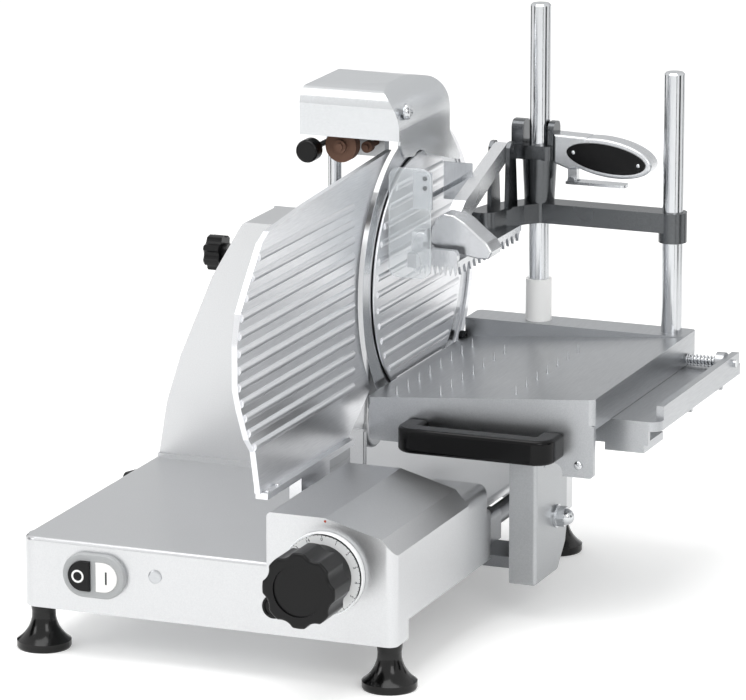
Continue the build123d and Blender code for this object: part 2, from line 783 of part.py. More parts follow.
# ---- carriage ------------------------------------------------------------------------------------
leg_right = leg_x + leg_width
leg_rear_y = leg_front_y + leg_depth
leg_top_z = tray_top_z - tray_thick
nut_y = 340
nut_z = 50
stud_radius = 6
arm_front_y = 306
arm_rear_y = 362
block_half = 15
block_front_y = 292
block_top_z = 43


def carriage_leg():
    """Hollow cast leg that runs outside the right wall, open on its inner side."""
    face = outline(
        (leg_front_y, leg_bottom_z), (leg_rear_y - 28, leg_bottom_z), (leg_rear_y - 4, leg_bottom_z + 26),
        (leg_rear_y, leg_bottom_z + 40), (leg_rear_y, leg_top_z), (leg_front_y, leg_top_z),
    )
    face = rounded(face, 3, (leg_front_y, leg_bottom_z))
    body = side_sheet(face, leg_x, leg_right)
    front_edge = body.edges().filter_by(Axis.Z).sort_by_distance((leg_right, leg_front_y, 60))[0]
    body = fillet(front_edge, 4)
    body -= side_sheet(offset(face, -leg_wall), leg_x - 1, leg_right - leg_wall)
    body += block(leg_x, leg_right - 1, leg_front_y + 2, leg_rear_y - 2, 84, 89)
    return body - bar_x(stud_radius, leg_x, leg_right + 1, nut_y, nut_z)


parts["carriage_leg"] = carriage_leg()


def carriage_arm():
    """Cast arm: slide block on the guide rod, fork on the guide bar, foot bolted in the leg."""
    inner = leg_right - leg_wall
    body = block(300, leg_x - 1, arm_front_y, arm_rear_y, arm_low_z, arm_high_z)
    body += block(leg_x - 2, inner, arm_front_y, leg_rear_y - 32, arm_low_z, arm_high_z)
    body += block(inner - 8, inner, 318, 354, arm_high_z - 1, 68)
    slide = block(
        guide_x - block_half, guide_x + block_half, block_front_y, leg_rear_y, arm_high_z - 0.5, block_top_z
    )
    body += fillet(slide.edges().filter_by(Axis.Y).group_by(Axis.Z)[-1], 6)
    body -= bar_y(guide_radius + running_gap, 200, 500, guide_x, guide_z)
    for x in (guide_bar_x - 8, guide_bar_x + 8):
        cheek = (x - 3.95, x + 3.95)
        body += block(*cheek, arm_front_y, arm_rear_y, arm_high_z - 1, 28)
    body += bar_x(stud_radius, inner - 1, leg_right + 8, nut_y, nut_z)
    return body


parts["carriage_arm"] = carriage_arm()
nut = hexagon_x(19, leg_right + 2.5, leg_right + 11, nut_y, nut_z)
nut += bar_x(12, leg_right, leg_right + 2.5, nut_y, nut_z)
dome = Pos(leg_right + 11, nut_y, nut_z) * Sphere(8.6)
nut += dome & block(leg_right + 11, leg_right + 25, nut_y - 12, nut_y + 12, nut_z - 12, nut_z + 12)
parts["leg_nut"] = nut - bar_x(stud_radius, leg_right - 1, leg_right + 8, nut_y, nut_z)
parts["guide_rod"] = bar_y(guide_radius, 9, base_depth - 20, guide_x, guide_z)
parts["guide_bar"] = block(guide_bar_x - 4, guide_bar_x + 4, 9, base_depth - 20, 14, 38)

boss_y = 568
boss_z = 168
boss_x0 = 539
small_rod_radius = 4


def tray():
    """Flat tray on top of the leg, lipped at its right edge and turned down at the front right."""
    plate = flat_sheet(
        Pos((tray_left + tray_right) / 2, (tray_front_y + tray_rear_y) / 2)
        * RectangleRounded(tray_right - tray_left, tray_rear_y - tray_front_y, 12),
        leg_top_z, tray_top_z,
    )
    lip = (tray_front_y + 14, tray_rear_y - 14, leg_top_z + 1, tray_top_z + 14)
    plate += block(tray_right - 8, tray_right, *lip)
    plate += block(452, tray_right - 12, tray_front_y, tray_front_y + 7, 136, tray_top_z - 1)
    plate += block(498, 540, tray_front_y, tray_front_y + 60, 128, 136.5)
    for y in (tray_front_y + 120, tray_front_y + 220):
        plate += block(300, 550, y, y + 5, 143, leg_top_z + 1)
    boss = bar_x(11, boss_x0, tray_right - 8, boss_y, boss_z)
    boss += block(boss_x0, tray_right - 8, boss_y - 11, boss_y + 11, leg_top_z + 2, boss_z)
    plate += boss
    return plate - bar_x(small_rod_radius, 500, 600, boss_y, boss_z)


parts["tray"] = tray()
parts["table_rod"] = bar_x(small_rod_radius, 440, tray_right + 4, boss_y, boss_z)

# ---- meat table ----------------------------------------------------------------------------------
table_rim_z = tray_top_z + fit_gap
lip_front_y = table_rear_y - lip_depth
front_plate_z = 129
slope = (table_right_z - table_left_z) / (table_right - table_left)


def table_top_z(x):
    """Height of the sloping top at an X."""
    return table_left_z + slope * (x - table_left)


def meat_table():
    w = table_wall
    wall = outline(
        (table_left, table_rim_z), (table_right, table_rim_z), (table_right, table_right_z),
        (table_left, table_left_z),
    )
    body = front_sheet(wall, table_front_y, table_rear_y)
    corners = body.edges().filter_by(Axis.Z)
    body = fillet(corners, 6)
    lip = block(table_left, table_right, lip_front_y, table_rear_y, table_left_z, table_right_z)
    body += fillet(lip.edges().filter_by(Axis.Z).group_by(Axis.Y)[-1], 6)
    under = outline(
        (table_left + w, table_rim_z - 1), (table_right - w, table_rim_z - 1),
        (table_right - w, table_right_z - w - 0.5), (table_left + w, table_left_z - w),
    )
    body -= front_sheet(under, table_front_y + w, table_rear_y - w)
    front_plate = outline(
        (table_left + 3, front_plate_z), (452, front_plate_z), (452, 118), (472, 111), (502, 111),
        (table_right, 114), (table_right, table_rim_z + 4), (table_left + 3, table_rim_z + 4),
    )
    front_plate = rounded(front_plate, 4, (502, 111), (table_left + 3, front_plate_z))
    front_plate -= Pos(462, 114) * Circle(10)
    body += front_sheet(front_plate, table_front_y, table_front_y + w)
    for x in (tall_rod_x, short_rod_x):
        body += bar_z(16, table_rim_z, table_right_z - 1, x, rod_y)
        body -= bar_z(rod_radius, table_rim_z + 2, table_right_z + 1, x, rod_y)
    body -= bar_x(small_rod_radius + running_gap, short_rod_x + rod_radius, table_right + 1, boss_y, boss_z)
    body -= bar_x(small_rod_radius + 1, 430, short_rod_x + rod_radius + 1, boss_y, boss_z)
    arch = Pos(table_rear_y + 4, table_rim_z - 6) * Circle(15)
    body -= side_sheet(arch, table_right - 40, table_right + 1)
    return body


parts["meat_table"] = meat_table()


def table_spikes():
    spikes = []
    for x, y0, count in ((287, 291, 8), (334, 293, 7), (413, 300, 7)):
        for k in range(count):
            y = y0 + 31 * k
            foot_z = table_top_z(x) - 0.4
            spikes.append(Pos(x, y, foot_z + 4.5) * Cone(1.5, 0.4, 9))
    return spikes


spikes = table_spikes()
for spike in spikes:
    parts["meat_table"] -= spike
parts["table_spikes"] = Compound(spikes)

handle_low, handle_high = 130, 156
handle_front_y = 232


def table_handle():
    """Moulded U-shaped grip on the front plate."""
    face = Pos(389, (handle_front_y + table_front_y) / 2) * Rectangle(168, table_front_y - handle_front_y)
    face = fillet(face.vertices().group_by(Axis.Y)[0], 20)
    face -= Pos(389, (handle_front_y + 22 + table_front_y) / 2 + 1) * Rectangle(124, 24)
    body = flat_sheet(face, handle_low, handle_high)
    return fillet(body.edges().filter_by(Plane.XY), 4)


parts["table_handle"] = table_handle()

spring_wire = 0.8
spring_radius = 5.5
spring_turns = 8
spring_x0 = table_right + fit_gap
spring_x1 = boss_x0


def spring_point(turn):
    """Centre of the wire after a number of turns, and the wire's direction there."""
    pitch = (spring_x1 - spring_x0 - 2 * spring_wire) / spring_turns
    angle = 2 * pi * turn
    place = Vector(
        spring_x0 + spring_wire + pitch * turn,
        boss_y + spring_radius * cos(angle),
        boss_z + spring_radius * sin(angle),
    )
    heading = Vector(pitch, -2 * pi * spring_radius * sin(angle), 2 * pi * spring_radius * cos(angle))
    return place, heading.normalized()


def biarc(start, start_way, end, end_way):
    """Two arcs that join smoothly and leave and arrive along the given directions."""
    chord = end - start
    ways = start_way + end_way
    spread = 2 * (1 - start_way.dot(end_way))
    along = chord.dot(ways)
    reach = (-along + (along**2 + spread * chord.dot(chord)) ** 0.5) / spread
    first, second = start + start_way * reach, end - end_way * reach
    middle = (first + second) * 0.5
    return [TangentArc(start, middle, tangent=start_way), TangentArc(middle, end, tangent=second - first)]


def table_spring():
    """Open return coil round the small rod, one tube swept along quarter turn biarcs."""
    arcs = []
    for step in range(4 * spring_turns):
        arcs += biarc(*spring_point(step / 4), *spring_point((step + 1) / 4))
    place, heading = spring_point(0)
    section = Plane(origin=place, z_dir=heading) * Circle(spring_wire)
    return sweep(section, path=Wire(arcs))


def spring_self_gap():
    """Least gap between one turn's surface and the turns beside it, on points of the wire."""
    samples = [spring_point(k / 48)[0] for k in range(48 * spring_turns + 1)]
    least = 1e9
    for k, place in enumerate(samples):
        for other in samples[k + 24 :]:
            least = min(least, (other - place).length - 2 * spring_wire)
    return least


parts["table_spring"] = table_spring()
print("table_spring least gap to itself", round(spring_self_gap(), 3))

tall_rod = bar_z(rod_radius, table_rim_z + 2, tall_rod_top, tall_rod_x, rod_y)
short_rod = bar_z(rod_radius, table_rim_z + 2, short_rod_top, short_rod_x, rod_y)
short_rod -= bar_x(small_rod_radius + 1, short_rod_x - 20, short_rod_x + 20, boss_y, boss_z)
parts["tall_rod"] = chamfer(tall_rod.edges().group_by(Axis.Z)[-1], 2)
parts["short_rod"] = chamfer(short_rod.edges().group_by(Axis.Z)[-1], 2)
collar = bar_z(collar_radius, table_right_z, table_right_z + collar_height, tall_rod_x, rod_y)
parts["rod_collar"] = collar - bar_z(rod_radius, 180, 300, tall_rod_x, rod_y)

# ---- press ---------------------------------------------------------------------------------------
slide_gap = 0.05
column_radius = 16
column_flare = 2.5
column_top_z = 370
head_top_z = 384
ear_top_z = 409
arm_half = 14
arm_end = (297, 515)
pivot_x = 307
pivot_y = 540
pivot_z = 383
pivot_radius = 4


def cross_arm():
    """Arm along both rods with a cranked end, and the split column that grips the tall rod."""
    path = [(tall_rod_x, rod_y), (316, 562), (302, 538), arm_end]
    face = Pos((tall_rod_x + short_rod_x) / 2, rod_y) * Rectangle(short_rod_x - tall_rod_x, 2 * arm_half)
    face += Pos(short_rod_x, rod_y) * Circle(arm_half + 1)
    face += Pos(tall_rod_x, rod_y) * Circle(column_radius)
    for (x0, y0), (x1, y1) in zip(path, path[1:]):
        length = hypot(x1 - x0, y1 - y0)
        turn = degrees(atan2(y1 - y0, x1 - x0))
        face += Pos((x0 + x1) / 2, (y0 + y1) / 2) * Rot(0, 0, turn) * Rectangle(length, 2 * arm_half)
        face += Pos(x1, y1) * Circle(arm_half)
    body = flat_sheet(face, arm_z, arm_z + arm_thick)
    body += bar_z(arm_half + 1, arm_z - 11, arm_z + 1, short_rod_x, rod_y)
    arm_top = arm_z + arm_thick
    column = Cone(column_radius, column_radius + column_flare, column_top_z - arm_top)
    body += Pos(tall_rod_x, rod_y, (arm_top + column_top_z) / 2) * column
    head = block(306, 353, rod_y - 17, rod_y + 17, column_top_z - 1, head_top_z)
    body += fillet(head.edges().filter_by(Axis.Z), 8)
    for x0, x1 in ((306, 319), (346.5, 353)):
        ear = block(x0, x1, rod_y - 11, rod_y + 11, head_top_z - 2, ear_top_z)
        body += fillet(ear.edges().filter_by(Axis.X).group_by(Axis.Z)[-1], 8)
    for x in (tall_rod_x, short_rod_x):
        body -= bar_z(rod_radius + slide_gap, arm_z - 20, ear_top_z + 1, x, rod_y)
    body -= block(tall_rod_x - 40, tall_rod_x - 8, rod_y - 1.5, rod_y + 1.5, 340, head_top_z + 1)
    for x0, x1 in ((pivot_x - 12, pivot_x - 7.3), (pivot_x + 7.3, pivot_x + 12)):
        cheek = outline(
            (pivot_y - 12, arm_z + arm_thick - 1), (pivot_y + 16, arm_z + arm_thick - 1),
            (pivot_y + 9, pivot_z + 4), (pivot_y + 4, pivot_z + 9), (pivot_y - 4, pivot_z + 9),
            (pivot_y - 9, pivot_z + 4),
        )
        body += side_sheet(cheek, x0, x1)
    return body + bar_x(pivot_radius, pivot_x - 14, pivot_x + 14, pivot_y, pivot_z)


parts["cross_arm"] = cross_arm()

handle_x0 = 353
handle_y0, handle_y1 = rod_y - 11, rod_y + 11
squeeze_x = 372
squeeze_z = 348
squeeze_radius = 2


def lever_handle():
    """Oval grip on a neck reaching right from the clamp, with its insert's recess and a lug below."""
    neck = outline((handle_x0, 366), (handle_x0, 397), (390, 396), (396, 364), (370, 360))
    face = neck + grip_oval(handle_oval[0], handle_oval[1])
    body = front_sheet(face, handle_y0, handle_y1)
    body = fillet(body.edges().group_by(Axis.Y)[0], 3)
    body -= front_sheet(grip_oval(insert_oval[0], insert_oval[1]), handle_y0 - 1, handle_y0 + 3)
    body += block(squeeze_x - 5, squeeze_x + 5, rod_y - 4, rod_y + 4, squeeze_z - 5, 364)
    return body - bar_y(squeeze_radius + running_gap, 560, 600, squeeze_x, squeeze_z)


handle_oval = (50, 20)
insert_oval = (44, 15)


def grip_oval(half_length, half_height):
    """The grip's tilted oval, drawn in (X, Z)."""
    return Pos(412, 375) * Rot(0, 0, -7) * Ellipse(half_length, half_height)


parts["lever_handle"] = lever_handle()
parts["grip_insert"] = front_sheet(grip_oval(*insert_oval), handle_y0 - 1.5, handle_y0 + 3)
squeeze = block(squeeze_x - 6, 432, rod_y - 8, rod_y + 8, squeeze_z - 4, squeeze_z - 1)
squeeze -= block(squeeze_x - 10, squeeze_x + 7, rod_y - 4.3, rod_y + 4.3, squeeze_z - 9, squeeze_z + 9)
for y0, y1 in ((rod_y - 8, rod_y - 4.3), (rod_y + 4.3, rod_y + 8)):
    squeeze += bar_y(4, y0, y1, squeeze_x, squeeze_z)
parts["brake_lever"] = squeeze + bar_y(squeeze_radius, rod_y - 8, rod_y + 8, squeeze_x, squeeze_z)
parts["brake_lever"] = fillet(
    parts["brake_lever"].edges().filter_by(Axis.Z).group_by(Axis.X)[-1], 5
)

press_plate_top = arm_z
teeth_height = 10


def press_body():
    """Plate bolted under the cross arm, with rails above and a row of teeth round its rim."""
    body = block(press_left, press_right, press_front_y, press_rear_y, press_z, press_plate_top)
    body = fillet(body.edges().filter_by(Axis.Z), 4)
    rail = block(press_left + 1, press_right - 1, press_front_y, press_front_y + 7, press_z, 312)
    body += fillet(rail.edges().filter_by(Axis.Y).group_by(Axis.Z)[-1], 5)
    body += block(press_left, press_left + 6, press_front_y + 4, 498, press_z, 309)
    body += block(press_left + 4, press_left + 14, 342, press_front_y + 1, press_z + 1, 311)
    shoulder = block(press_left, press_left + 13, press_front_y, 404, press_z + 2, 330)
    return body + fillet(shoulder.edges().filter_by(Axis.X).group_by(Axis.Z)[-1], 9)


def press_teeth():
    """Pointed teeth: a close row in front, wider rows down both sides."""
    teeth = []
    for k in range(9):
        x = press_left + 3 + 5.6 * k
        tooth = outline((x - 2.4, press_z + 0.5), (x + 2.4, press_z + 0.5), (x, press_z - teeth_height))
        teeth.append(front_sheet(tooth, press_front_y + 0.5, press_front_y + 3.5))
    for x in (press_left + 0.5, press_right - 3.5):
        for k in range(13):
            y = press_front_y + 12 + 14 * k
            tooth = outline((y - 5, press_z + 0.5), (y + 5, press_z + 0.5), (y, press_z - teeth_height))
            teeth.append(side_sheet(tooth, x, x + 3))
    return teeth


body = press_body()
for tooth in press_teeth():
    body += tooth
parts["press_body"] = body


def press_lever():
    """Lever from the pivot down to the front."""
    face = outline(
        (pivot_y - 2, pivot_z + 8.5), (pivot_y + 6, pivot_z + 6), (pivot_y + 8.5, pivot_z),
        (pivot_y + 4, pivot_z - 8), (432, 336), (418, 326), (398, 322), (398, 342), (416, 354),
    )
    face = rounded(face, 6, (pivot_y + 6, pivot_z + 6), (416, 354), (432, 336))
    body = side_sheet(face, pivot_x - 7, pivot_x + 7)
    return body - bar_x(pivot_radius + running_gap, 290, 330, pivot_y, pivot_z)


parts["press_lever"] = press_lever()


def palm_grip():
    """Domed palm rest on the front end of the press lever, high on the left and thin at its tip."""
    face = outline(
        (288, 315), (289, 330), (294, 341), (303, 346), (314, 345), (326, 338), (338, 328), (350, 319),
        (356, 310), (352, 302.5), (342, 301.5), (326, 304), (308, 308), (294, 309),
    )
    body = front_sheet(fillet(face.vertices(), 2.2), 380, 412)
    body = fillet(body.edges().filter_by(Plane.XZ), 2)
    return body - parts["press_lever"]


parts["palm_grip"] = palm_grip()
guard_face = Pos(281.5, 343) * RectangleRounded(45, 114, 10)
parts["hand_guard"] = front_sheet(guard_face, 338, 342)

# ---- files ---------------------------------------------------------------------------------------
os.makedirs("parts", exist_ok=True)
for name, solid in parts.items():
    export_step(solid.moved(shift), f"parts/{name}.step")
print(len(parts), "parts")
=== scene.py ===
import bmesh
import bpy
from math import cos, pi, radians, sin
from mathutils import Matrix, Vector


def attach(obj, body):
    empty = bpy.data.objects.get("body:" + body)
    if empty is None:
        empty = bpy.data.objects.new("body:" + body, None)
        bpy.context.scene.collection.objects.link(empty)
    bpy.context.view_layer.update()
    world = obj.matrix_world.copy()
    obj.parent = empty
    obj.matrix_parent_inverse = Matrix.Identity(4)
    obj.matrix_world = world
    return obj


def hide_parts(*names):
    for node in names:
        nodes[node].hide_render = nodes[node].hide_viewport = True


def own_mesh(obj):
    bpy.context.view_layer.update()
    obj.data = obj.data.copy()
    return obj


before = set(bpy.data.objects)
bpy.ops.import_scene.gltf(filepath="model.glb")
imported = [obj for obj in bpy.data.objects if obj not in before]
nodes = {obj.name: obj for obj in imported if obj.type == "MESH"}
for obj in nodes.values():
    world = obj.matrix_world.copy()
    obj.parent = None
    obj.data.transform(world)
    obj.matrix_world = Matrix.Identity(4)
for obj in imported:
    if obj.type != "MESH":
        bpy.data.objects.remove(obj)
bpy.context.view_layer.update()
MM = 0.001

# ---- studio --------------------------------------------------------------------------------------
# The slicer stands on a plain white floor under an overcast white tent. The camera is high at the
# front right, far back with a long lens, so that the machine's upright edges stay nearly parallel.
def linear(hex_colour):
    """An sRGB hex colour as linear red, green, blue and alpha."""
    values = [int(hex_colour[k : k + 2], 16) / 255 for k in (1, 3, 5)]
    return [v / 12.92 if v <= 0.04045 else ((v + 0.055) / 1.055) ** 2.4 for v in values] + [1.0]


def add(tree, kind, settings=None, links=None):
    """Adds a node: settings set its own properties or unlinked inputs, links feed its inputs."""
    node = tree.nodes.new(kind)
    for name, value in (settings or {}).items():
        if name in node.inputs:
            node.inputs[name].default_value = value
        else:
            setattr(node, name, value)
    for name, source in (links or {}).items():
        tree.links.new(source, node.inputs[name])
    return node


def empty_material(name):
    """A material with an empty node tree."""
    material = bpy.data.materials.new(name)
    material.use_nodes = True
    material.node_tree.nodes.clear()
    return material, material.node_tree


scene = bpy.context.scene
scene.view_settings.view_transform = "Standard"
camera_place = Vector((2194.0, -4598.7, 1564.6)) * MM
camera_right = Vector((0.9285, 0.3714, 0.0)).normalized()
camera_forward = Vector((-0.3605, 0.9013, -0.2404)).normalized()
camera_up = camera_right.cross(camera_forward)
camera_data = bpy.data.cameras.new("studio_camera")
camera_data.lens = 255.8
camera_data.sensor_width = 36
camera_data.clip_end = 60
camera = bpy.data.objects.new("studio_camera", camera_data)
camera_turn = Matrix((camera_right, camera_up, -camera_forward)).transposed().to_4x4()
camera.matrix_world = Matrix.Translation(camera_place) @ camera_turn
scene.collection.objects.link(camera)
scene.camera = camera


def shows_backdrop(tree):
    """A factor that is 1 for what the camera sees, straight or by way of metal and clear plastic."""
    ray = add(tree, "ShaderNodeLightPath")
    bent = add(
        tree, "ShaderNodeMath", {"operation": "MAXIMUM"},
        {0: ray.outputs["Is Glossy Ray"], 1: ray.outputs["Is Transmission Ray"]},
    )
    either = add(
        tree, "ShaderNodeMath", {"operation": "MAXIMUM"},
        {0: ray.outputs["Is Camera Ray"], 1: bent.outputs[0]},
    )
    return either.outputs[0]


world = bpy.data.worlds.new("white_tent")
scene.world = world
world.use_nodes = True
sky = world.node_tree
sky.nodes.clear()
way = add(sky, "ShaderNodeTexCoord")
split = add(sky, "ShaderNodeSeparateXYZ", links={0: way.outputs["Generated"]})
height = add(sky, "ShaderNodeMapRange", {"From Min": -0.3, "From Max": 0.9}, {"Value": split.outputs["Z"]})
tent = add(sky, "ShaderNodeValToRGB", links={"Fac": height.outputs["Result"]})
tent.color_ramp.elements[0].color = linear("#B9BBBE")
tent.color_ramp.elements[1].color = linear("#FFFFFF")
tent.color_ramp.elements.new(0.3).color = linear("#DADBDD")
tent_light = add(sky, "ShaderNodeBackground", {"Strength": 0.95}, {"Color": tent.outputs["Color"]})
backdrop = add(sky, "ShaderNodeBackground", {"Strength": 1.0, "Color": linear("#FFFFFF")})
seen = add(
    sky, "ShaderNodeMixShader",
    links={"Fac": shows_backdrop(sky), 1: tent_light.outputs[0], 2: backdrop.outputs[0]},
)
add(sky, "ShaderNodeOutputWorld", links={"Surface": seen.outputs[0]})


def lamp(name, place, size, power):
    """A square soft lamp that looks at the machine."""
    data = bpy.data.lights.new(name, "AREA")
    data.size = size
    data.energy = power
    target = Vector((0.15, 0.25, 0.2))
    lamp_object = bpy.data.objects.new(name, data)
    lamp_object.location = place
    lamp_object.rotation_euler = (target - Vector(place)).to_track_quat("-Z", "Y").to_euler()
    scene.collection.objects.link(lamp_object)


# A wide lamp overhead and two weaker ones at the front keep the shadows soft and short.
lamp("overhead", (0.1, -0.1, 2.4), 1.8, 26)
lamp("front_right", (2.2, -1.9, 1.7), 1.2, 16)
lamp("front_left", (-1.9, -1.6, 1.5), 1.0, 10)


def studio_sheet(name, corners, material):
    """A flat four cornered piece of the studio."""
    mesh = bpy.data.meshes.new(name)
    mesh.from_pydata([tuple(corner) for corner in corners], [], [(0, 1, 2, 3)])
    mesh.materials.append(material)
    sheet = bpy.data.objects.new(name, mesh)
    scene.collection.objects.link(sheet)
    return sheet


# White paper: matt under the feet, and lifted a little for the eye so that it meets the backdrop.
floor_half = 9.0
paper, tree = empty_material("white_paper")
matt = add(tree, "ShaderNodeBsdfDiffuse", {"Color": linear("#F4F4F3")})
glow = add(tree, "ShaderNodeEmission", {"Color": linear("#FFFFFF"), "Strength": 0.25})
both = add(tree, "ShaderNodeAddShader", links={0: matt.outputs[0], 1: glow.outputs[0]})
seen = add(
    tree, "ShaderNodeMixShader",
    links={"Fac": shows_backdrop(tree), 1: matt.outputs[0], 2: both.outputs[0]},
)
add(tree, "ShaderNodeOutputMaterial", links={"Surface": seen.outputs[0]})
floor_corners = [(x * floor_half, y * floor_half, 0) for x, y in ((-1, -1), (1, -1), (1, 1), (-1, 1))]
studio_sheet("studio_floor", floor_corners, paper)


def flag(name, corners, shade):
    """A dark card outside the picture that only the metal mirrors, so that its curves read."""
    cloth, cloth_tree = empty_material(name)
    dull = add(cloth_tree, "ShaderNodeEmission", {"Color": linear(shade)})
    add(cloth_tree, "ShaderNodeOutputMaterial", links={"Surface": dull.outputs[0]})
    card = studio_sheet(name, corners, cloth)
    card.visible_camera = False
    card.visible_diffuse = False
    card.visible_transmission = False
    card.visible_shadow = False


def standing_flag(name, azimuth, width, shade, distance=1.4, high=0.65):
    """A narrow flag on the floor at an angle from +X, which the round rods mirror as a dark streak."""
    out = Vector((cos(radians(azimuth)), sin(radians(azimuth)), 0))
    side = Vector((-out.y, out.x, 0)) * width / 2
    foot = Vector((0.4, 0.5, 0.002)) + out * distance
    rise = Vector((0, 0, high))
    flag(name, [foot - side, foot + side, foot + side + rise, foot - side + rise], shade)


flag("back_flag", [(-2.6, 2.4, 0.45), (1.2, 2.4, 0.45), (1.2, 2.4, 1.9), (-2.6, 2.4, 1.9)], "#DCDDDE")
standing_flag("left_flag", -146, 0.42, "#222325")
standing_flag("right_flag", -6, 0.5, "#2E2F31")
standing_flag("thin_flag", -44, 0.14, "#1C1D1F")
standing_flag("far_left_flag", 160, 0.5, "#3A3B3D")
standing_flag("far_right_flag", 42, 0.26, "#3A3B3D")

# ---- base ----------------------------------------------------------------------------------------
# The base is one sand cast aluminium shell, linished on the flats and bead blasted, so it is nearly
# white with a very fine grain. A pressed steel sheet closes it below, held by four pan head screws.
def coat(material, *names):
    """Gives CAD nodes this material."""
    for name in names:
        slots = nodes[name].data.materials
        slots.clear()
        slots.append(material)


def metal(name, colour, shadow, rough, grain_mm, stretch=(1, 1, 1), relief=0.1, contrast=0.5):
    """A metal skin whose colour, gloss and surface wander with its grain.

    Blasting and brushing leave a grain finer than a pixel, so it is drawn about a millimetre wide.
    """
    hand_wide = 9.0  # clouds per metre, the patches that a hand leaves in wiping and linishing
    grain_height = 0.0003
    material, tree = empty_material(name)
    place = add(tree, "ShaderNodeTexCoord")
    scaled = add(tree, "ShaderNodeMapping", {"Scale": stretch}, {"Vector": place.outputs["Object"]})
    grain = add(
        tree, "ShaderNodeTexNoise", {"Scale": 1 / (grain_mm * MM), "Detail": 3.0, "Roughness": 0.6},
        {"Vector": scaled.outputs["Vector"]},
    )
    cloud = add(
        tree, "ShaderNodeTexNoise", {"Scale": hand_wide, "Detail": 2.0}, {"Vector": place.outputs["Object"]}
    )
    spread = add(
        tree, "ShaderNodeMapRange", {"From Min": 0.5 - contrast / 2, "From Max": 0.5 + contrast / 2},
        {"Value": grain.outputs["Fac"]},
    )
    tint = add(tree, "ShaderNodeMix", {"data_type": "RGBA"}, {"Factor": spread.outputs["Result"]})
    tint.inputs[6].default_value = linear(shadow)
    tint.inputs[7].default_value = linear(colour)
    gloss = add(
        tree, "ShaderNodeMapRange", {"To Min": rough - 0.06, "To Max": rough + 0.08},
        {"Value": cloud.outputs["Fac"]},
    )
    bump = add(
        tree, "ShaderNodeBump", {"Strength": relief, "Distance": grain_height},
        {"Height": grain.outputs["Fac"]},
    )
    skin = add(
        tree, "ShaderNodeBsdfPrincipled", {"Metallic": 1.0},
        {
            "Base Color": tint.outputs[2], "Roughness": gloss.outputs["Result"],
            "Normal": bump.outputs["Normal"],
        },
    )
    add(tree, "ShaderNodeOutputMaterial", links={"Surface": skin.outputs[0]})
    return material


# Linished casting: nearly white, with soft wide highlights and no lines.
cast_aluminium = metal("linished_cast_aluminium", "#D2D3D4", "#C5C6C8", 0.32, 1.2, relief=0.08, contrast=0.7)
# Brushed sheet: a grey with long fine lines from side to side.
sheet_steel = metal("brushed_sheet_steel", "#C6C8CA", "#B7B9BC", 0.34, 0.8, (0.05, 1, 1))
# Drawn stainless: bright and tight, so that it mirrors the tent and the dark cards as streaks.
bright_steel = metal("drawn_stainless_steel", "#D0D2D4", "#C4C6C9", 0.14, 1.0, (1, 1, 0.05), 0.05)
coat(cast_aluminium, "base_casting")
coat(sheet_steel, "base_bottom_cover")


def at(x, y, z):
    """A point in millimetres from the casting's front left corner, as the part's source counts."""
    return Vector((x - 14, y - 21, z + 47)) * MM


def finish_piece(name, mesh, material, body, smooth=False):
    """Turns the faces outward, gives the material and hangs the mesh on its body."""
    work = bmesh.new()
    work.from_mesh(mesh)
    bmesh.ops.remove_doubles(work, verts=work.verts, dist=1e-6)
    bmesh.ops.recalc_face_normals(work, faces=work.faces)
    work.to_mesh(mesh)
    work.free()
    mesh.materials.clear()
    mesh.materials.append(material)
    for polygon in mesh.polygons:
        polygon.use_smooth = smooth
    item = bpy.data.objects.new(name, mesh)
    scene.collection.objects.link(item)
    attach(item, body)
    return item


def lathe(profile, steps=32):
    """Spins a profile of (radius, height) in millimetres round +Z into a closed mesh."""
    mesh = bpy.data.meshes.new("turned_head")
    work = bmesh.new()
    rings = []
    for radius, rise in profile:
        angles = [2 * pi * k / steps for k in range(steps)]
        rings.append([work.verts.new(Vector((radius * cos(a), radius * sin(a), rise)) * MM) for a in angles])
    for low, high in zip(rings, rings[1:]):
        for k in range(steps):
            n = (k + 1) % steps
            work.faces.new((low[k], low[n], high[n], high[k]))
    bmesh.ops.remove_doubles(work, verts=work.verts, dist=1e-7)
    bmesh.ops.dissolve_degenerate(work, dist=1e-7, edges=work.edges)
    bmesh.ops.holes_fill(work, edges=work.edges, sides=0)
    bmesh.ops.recalc_face_normals(work, faces=work.faces)
    work.to_mesh(mesh)
    work.free()
    return mesh


def screw_head(name, profile, recess, floor, roof=5):
    """A lathed head with a recess of the given outline cut into it from its floor up."""
    head = bpy.data.objects.new(name, lathe(profile))
    work = bmesh.new()
    bottom = [work.verts.new(Vector((x, y, floor)) * MM) for x, y in recess]
    top = [work.verts.new(Vector((x, y, roof)) * MM) for x, y in recess]
    work.faces.new(bottom[::-1])
    work.faces.new(top)
    for k in range(len(recess)):
        n = (k + 1) % len(recess)
        work.faces.new((bottom[k], bottom[n], top[n], top[k]))
    cut_mesh = bpy.data.meshes.new("recess")
    work.to_mesh(cut_mesh)
    work.free()
    cutter = bpy.data.objects.new("recess", cut_mesh)
    scene.collection.objects.link(head)
    scene.collection.objects.link(cutter)
    carve = head.modifiers.new("recess", "BOOLEAN")
    carve.operation = "DIFFERENCE"
    carve.solver = "EXACT"
    carve.object = cutter
    bpy.context.view_layer.update()
    mesh = bpy.data.meshes.new_from_object(head.evaluated_get(bpy.context.evaluated_depsgraph_get()))
    bpy.data.objects.remove(head)
    bpy.data.objects.remove(cutter)
    return bpy.data.objects.new(name, mesh)


